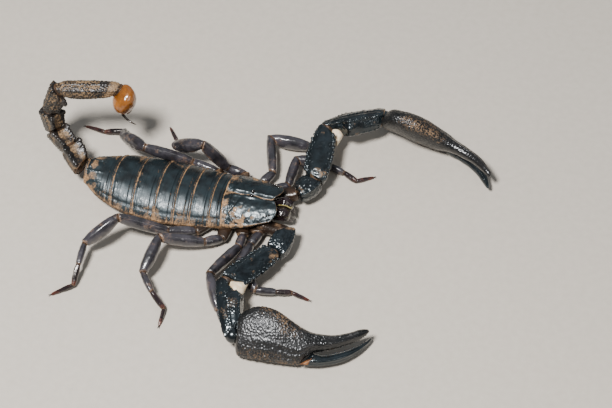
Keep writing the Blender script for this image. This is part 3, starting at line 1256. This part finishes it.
for side in ("left", "right"):
    sign = 1 if side == "left" else -1
    span = JAW[-1][0] - JAW[0][0]
    t, share = capped_rows(span, cap=0.5, pitch=0.14)
    at = JAW[0][0] + t * span
    middle_y, middle_z, half, deep = smooth_through(JAW, at).T
    columns = 64
    rings = rings_along_x(at, sign * middle_y, middle_z, sign * half * share, deep * share, 2.5, columns)
    angle = degrees_round(columns)
    row = at[:, None]
    ribs = ridges(angle, (42, 74, 106, 138), 12) * (0.8 + 0.2 * np.sin(1.7 * row))
    relief = 0.3 * ribs + 0.14 * drift(rings, 1.0, 501) + 0.03 * drift(rings, 0.4, 503)
    rings = raised(rings, relief * share[:, None])
    to_middle = 180 - angle if side == "left" else angle
    bristly = ridges(to_middle, [34], 7) * step(13.5, 15.0, row) * (1.0 if side == "left" else 0.3)
    dust = 0.85 * bristly + 0.2 * step(17.2, 18.3, row) + 0.15 * step(0.2, 0.8, drift(rings, 0.9, 502))
    bodies = [tube_body(rings, dust)]
    for root, heading, length, width, droop in JAW_HOOKS:
        place, way = side_point(root, side), side_point(heading, side)
        bodies.append(claw_body(place, way, np.zeros(3), length, width, droop))
    make_piece(f"jaw_{side}", joined(bodies), JAW_HORN, [f"chelicera_{side}"])


# ================================================================ underside
# The legs' coxae and the arms' coxae lie packed like wedges round a small sternum. Behind them
# are the comb organs, and five broad belly plates with a breathing slit on each side.

UNDER_HORN = horn(
    "under_chitin", (0x120D0A, 0x2E2118), (0x42311F, 0x80644A), gloss=0.3, grain=0.5, tint=(1, 0.97, 0.94, 1)
)
BELLY_BOTTOM = [[-40, 3.6], [-34, 1.9], [-20, 1.3], [-6, 1.5], [0, 1.7]]
STERNUM_X = (-1.5, 11.5)
STERNITE_ENDS = [-9.0, -14.5, -20.0, -26.0, -32.0, -39.8]
STERNITE_THICKNESS = 0.35
COMB_TEETH = 15
# ends of the left comb's shaft, and the way from the root of each tooth to its tip
COMB_ROOT = [-4.2, 0.8, 1.0]
COMB_TIP = [-8.0, 7.0, 1.0]
COMB_TOOTH = [-1.35, -0.25, -0.12]
LEG_COXA = dict(half=1.75, deep=1.15, narrow=0.78, cap=0.4, pitch=0.25, columns=48, grain=0.05, soil=0.45)
PALP_COXA = dict(half=1.9, deep=1.7, narrow=0.85, cap=0.5, pitch=0.2, columns=56, grain=0.07, soil=0.5)


def coxa_body(bones, seeds, half, deep, narrow, cap, pitch, columns, grain, soil):
    """The first length of a limb: a flat oval, narrowed where it meets the next, grained and soiled."""
    t, share = capped_rows(bones[0].length, cap, pitch)
    width = half * waist(np.maximum(t, 0.5), narrow) * share
    rings = rings_round(bones[0], joint_planes(bones, 0), t, width, deep * share, 2.4, columns)
    relief = 0.08 * drift(rings, 1.3, seeds[0]) + grain * grains(rings, 0.6, seeds[1])
    rings = raised(rings, relief * share[:, None])
    return tube_body(rings, 0.05 + 0.4 * step(0.88, 1.0, t)[:, None] + soil * drift(rings, 1.2, seeds[2]))


coxae = []
for side in ("left", "right"):
    for n in range(4):
        coxae.append(coxa_body(leg_chains[side, n], (600 + n, 601, 610 + n), **LEG_COXA))
    coxae.append(coxa_body(palp_chains[side], (620, 621, 622), **PALP_COXA))

t, share = capped_rows(STERNUM_X[1] - STERNUM_X[0], cap=0.6, pitch=0.3)
half = mix(2.7, 4.2, t) * share
rings = rings_along_x(mix(*STERNUM_X, t), 0.0, mix(2.5, 2.9, t), half, 0.85 * share, 2.0, 56)
groove = hill(rings[..., 1], 0.35) * step(0.3, -0.3, rings[..., 2] - 2.6)
rings = raised(rings, -0.25 * groove * share[:, None])
coxae.append(tube_body(rings, 0.35 + 0.3 * drift(rings, 1.5, 630)))
make_piece("coxae_and_sternum", joined(coxae), UNDER_HORN, ["prosoma_underside"])

sternites = []
s = np.linspace(0, 1, 44)[:, None]
v = np.sin(np.linspace(-1, 1, 81) * np.pi / 2)[None, :]
for k, (front, rear) in enumerate(zip(STERNITE_ENDS, STERNITE_ENDS[1:])):
    x = mix(front - 0.1, rear + 0.1, s)
    half = 0.9 * smooth_through(TRUNK_HALF, x)[..., 0]
    z = smooth_through(BELLY_BOTTOM, x)[..., 0] + 1.9 * np.abs(v) ** 3.2 + 0.12 * hill(s, 0.08)
    plate = np.stack(np.broadcast_arrays(x, v * half, z), axis=-1)
    slit = hill((x - mix(front, rear, 0.55)) / 1.3, 0.25) * hill(np.abs(v) - 0.66, 0.09)
    ridge = hill(np.abs(v) - 0.3, 0.03) * (k == 4)
    plate[..., 2] += 0.2 * slit - 0.12 * ridge + 0.04 * drift(plate, 1.6, 640 + k)
    dust = 0.2 + 0.5 * hill(1 - s, 0.1) + 0.6 * slit + 0.3 * drift(plate, 2.0, 650 + k)
    sternites.append(shell_body(plate, STERNITE_THICKNESS, dust))
make_piece("belly_plates", joined(sternites), UNDER_HORN, ["belly"])

for side in ("left", "right"):
    spine = bone_to(side_point(COMB_ROOT, side), side_point(COMB_TIP, side))
    t, share = capped_rows(spine.length, cap=0.3, pitch=0.2)
    shaft = rings_round(spine, [spine.forward] * 2, t, mix(0.75, 0.4, t) * share, 0.38 * share, 2.4, 28)
    bodies = [tube_body(shaft, 0.45 + 0.2 * drift(shaft, 0.8, 660))]
    for at in np.linspace(0.06, 0.96, COMB_TEETH):
        foot = spine.start + spine.forward * spine.length * at
        tooth = bone_to(foot, foot + side_point(COMB_TOOTH, side))
        t, share = capped_rows(tooth.length, cap=0.3, pitch=0.3)
        rings = rings_round(tooth, [tooth.forward] * 2, t, 0.17 * share, 0.2 * share, 2.0, 10)
        bodies.append(tube_body(rings, 0.75))
    make_piece(f"comb_{side}", joined(bodies), UNDER_HORN, [f"pectine_{side}"])


# ================================================================ soft skin
# Between the plates the body is bound by soft leathery skin: along the flanks, round the neck of
# the tail, and over every joint of the limbs. It folds lengthwise, and is dull and dark brown.

# places of the skin's ends along +X, under the first tail segment and under the shield's front
SKIN_ENDS = (-41.2, 12.6)
# how far the skin lies under the tergites and above the belly plates
SKIN_UNDER = 0.75
SKIN_ABOVE = 0.45
FOLD_PITCH = 0.8


def soft_skin(name, tones, pleat):
    """Untanned cuticle: IOR 1.45, half matt, finely pleated, with light passing a little way in."""
    material, tree, shader, place = new_finish(
        name,
        {
            "Roughness": 0.5,
            "IOR": 1.45,
            "Subsurface Weight": 0.2,
            "Subsurface Radius": (1.0, 0.6, 0.35),
            "Subsurface Scale": 0.5 * MM,
        },
    )
    cloud = add_node(tree, "ShaderNodeTexNoise", {"Vector": place, "Scale": 1 / (1.4 * MM), "Detail": 4.0})
    tone = add_node(tree, "ShaderNodeValToRGB", {"Fac": cloud.outputs["Fac"]}, zip((0.34, 0.66), tones))
    pleats = {"Vector": place, "Scale": 1 / (pleat * MM), "Detail": 3.0, "Distortion": 1.5}
    folds = add_node(tree, "ShaderNodeTexNoise", pleats)
    depth = {"Height": folds.outputs["Fac"], "Strength": 0.6, "Distance": 0.12 * MM}
    relief = add_node(tree, "ShaderNodeBump", depth)
    tree.links.new(tone.outputs["Color"], shader.inputs["Base Color"])
    tree.links.new(relief.outputs["Normal"], shader.inputs["Normal"])
    return material


FLANK_SKIN = soft_skin("flank_skin", (0x2B2018, 0x74593E), 0.5)
JOINT_SKIN = soft_skin("joint_skin", (0x1C130E, 0x4E3826), 0.4)

s = np.linspace(0, 1, 220)[:, None]
x = mix(*SKIN_ENDS, s)
close = np.sin(np.minimum(1, 14 * np.minimum(s, 1 - s)) * np.pi / 2)
half = smooth_through(TRUNK_HALF, x)[..., 0] * 0.985
edge = smooth_through(TRUNK_EDGE + [[12, 6.0]], x)[..., 0]
top = np.minimum(smooth_through(TRUNK_TOP, x)[..., 0], mix(8.8, 7.6, step(6, 12, x))) - SKIN_UNDER
bottom = smooth_through(BELLY_BOTTOM + [[12, 2.8]], x)[..., 0] + SKIN_ABOVE
across, up = oval(120, 2.0)
upper = edge - 0.35 + (top - edge) * (1 - np.abs(across) ** 2.3) ** 0.8
lower = mix(edge - 0.35, bottom, np.abs(up) ** 0.45)
z = np.where(up > 0, upper, lower)
z = edge - 0.3 + (z - edge + 0.3) * close
rings = np.stack(np.broadcast_arrays(x, across * half * close, z), axis=-1)
flank = step(0.75, 0.95, np.abs(across))
folds = np.sin(z * 2 * np.pi / FOLD_PITCH + 1.5 * drift(rings, 3.0, 701))
rings = raised(rings, (0.09 * folds + 0.08 * drift(rings, 1.2, 702)) * flank * close)
make_piece("soft_skin", tube_body(rings, 0.5), FLANK_SKIN)
make_piece("joint_skins", joined(soft_parts), JOINT_SKIN)


# ================================================================ elbow skin
# On the inner side of each arm's elbow the horn is cut away in a broad notch, and the tough white
# skin that folds there bulges out between femur and patella. A smaller patch hinges the finger.

# corners of each elbow's white pad, in the plan
ELBOW_PADS = {
    "right": [[7.4, -28.0, 6.6], [14.2, -26.7, 6.5], [12.5, -34.2, 6.2]],
    "left": [[20.0, 31.0, 6.8], [26.2, 31.7, 6.8], [25.1, 24.6, 6.2]],
}
# corners of the hinge skin beside each movable finger: along the hand, inward, out of its back
HINGE_CORNERS = [[16.9, -7.1, 1.3], [20.6, -5.0, 1.7], [19.4, -7.2, 1.2]]
ELBOW_BULGE = 1.7
HINGE_BULGE = 0.6
ELBOW_SKIN = soft_skin("elbow_skin", (0xC9B290, 0xEBDDC4), 0.9)
HINGE_SKIN = soft_skin("hinge_skin", (0x4A2A16, 0x8C5E3A), 0.5)


def pad_body(corners, bulge, seed):
    """A three-cornered pad: a disc drawn out to its corners, swelling to `bulge` on both faces."""
    corners = np.asarray(corners, float)
    centre = corners.mean(0)
    flat = np.cross(corners[1] - corners[0], corners[2] - corners[0])
    flat /= np.linalg.norm(flat)
    turn = np.arange(60) / 60 * 2 * np.pi
    share = (turn / (2 * np.pi) * 3) % 1
    which = np.floor(turn / (2 * np.pi) * 3).astype(int) % 3
    rim = corners[which] * (1 - share)[:, None] + corners[(which + 1) % 3] * share[:, None]
    rounded = centre + (rim - centre) * (0.93 - 0.06 * np.cos(3 * turn))[:, None]
    a = np.linspace(0, np.pi, 24)
    radius, height = np.sin(a) ** 0.8, np.cos(a)
    rings = centre + (rounded - centre)[None] * radius[:, None, None] + flat * (bulge * height)[:, None, None]
    rings = rings + flat * (0.12 * drift(rings, 1.3, seed) * np.sign(height)[:, None])[..., None]
    return tube_body(rings, 0.5)


pads = [pad_body(corners, ELBOW_BULGE, 710) for corners in ELBOW_PADS.values()]
make_piece("elbow_pads", joined(pads), ELBOW_SKIN)

hinges = []
for hand, ways in hands.values():
    axes = np.stack([hand.forward, *ways])
    lifted = [[a, b, c + smooth_through(FINGER_BOW, a)[0]] for a, b, c in HINGE_CORNERS]
    hinges.append(pad_body(hand.start + np.array(lifted) @ axes, HINGE_BULGE, 711))
make_piece("hinge_skins", joined(hinges), HINGE_SKIN)


# ================================================================ floor, light and camera
# A plain pale paper floor, a small soft key light at the front, a broad pale blue one behind and a
# weaker warm one at the side. The camera looks down on the animal from its right.

FLOOR_HALF = 1.5
floor_mesh = bpy.data.meshes.new("floor")
floor_corners = [(x * FLOOR_HALF, y * FLOOR_HALF, 0) for x, y in [(-1, -1), (1, -1), (1, 1), (-1, 1)]]
floor_mesh.from_pydata(floor_corners, [], [(0, 1, 2, 3)])
floor = bpy.data.objects.new("floor", floor_mesh)
bpy.context.scene.collection.objects.link(floor)
paper, tree, shader, place = new_finish("pale_paper", {"Roughness": 0.85})
fibre = add_node(tree, "ShaderNodeTexNoise", {"Vector": place, "Scale": 1 / (2 * MM), "Detail": 3.0})
stops = [(0.0, 0xB2ABA1), (1.0, 0xC0B9AF)]
paper_tone = add_node(tree, "ShaderNodeValToRGB", {"Fac": fibre.outputs["Fac"]}, stops)
tree.links.new(paper_tone.outputs["Color"], shader.inputs["Base Color"])
floor_mesh.materials.append(paper)

CAMERA_TARGET = np.array([20.5, 7.7, 0.0])
CAMERA_DISTANCE = 520.0
CAMERA_AZIMUTH = 14.5
CAMERA_ELEVATION = 51.5
FOCAL_PIXELS = 1872.0
PICTURE_WIDTH = 612
SENSOR_WIDTH = 36.0
SURROUND_COLOUR = (0.9, 0.95, 1.0, 1)
SURROUND_STRENGTH = 0.18
# name, azimuth, elevation, distance (m), size (m), power (W), colour
LAMPS = [
    ("key", -22, 62, 0.6, 0.12, 8.0, (1.0, 0.98, 0.95)),
    ("sky", 170, 50, 0.8, 0.8, 0.5, (0.84, 0.92, 1.0)),
    ("fill", 58, 34, 1.2, 0.4, 1.6, (1.0, 0.97, 0.93)),
]
target = (CAMERA_TARGET + PLAN_ORIGIN) * MM


def aim(name, data, azimuth, elevation, distance):
    """Places a camera or lamp round the target and turns it there: azimuth from -Y towards +X, metres."""
    a, e = math.radians(azimuth), math.radians(elevation)
    away = np.array([math.sin(a) * math.cos(e), -math.cos(a) * math.cos(e), math.sin(e)])
    thing = bpy.data.objects.new(name, data)
    bpy.context.scene.collection.objects.link(thing)
    place = Vector(target + away * distance)
    thing.location = place
    thing.rotation_euler = (Vector(target) - place).to_track_quat("-Z", "Y").to_euler()
    return thing


camera_data = bpy.data.cameras.new("camera")
camera_data.sensor_width = SENSOR_WIDTH
camera_data.lens = SENSOR_WIDTH * FOCAL_PIXELS / PICTURE_WIDTH
camera_data.clip_start = 0.01
camera = aim("camera", camera_data, CAMERA_AZIMUTH, CAMERA_ELEVATION, CAMERA_DISTANCE * MM)
bpy.context.scene.camera = camera

for name, azimuth, elevation, distance, size, power, colour in LAMPS:
    lamp_data = bpy.data.lights.new(name, "AREA")
    lamp_data.shape = "DISK"
    lamp_data.size = size
    lamp_data.energy = power
    lamp_data.color = colour
    aim(name, lamp_data, azimuth, elevation, distance)

world = bpy.data.worlds.new("studio")
bpy.context.scene.world = world
world.use_nodes = True
surround = world.node_tree.nodes["Background"]
surround.inputs["Color"].default_value = SURROUND_COLOUR
surround.inputs["Strength"].default_value = SURROUND_STRENGTH
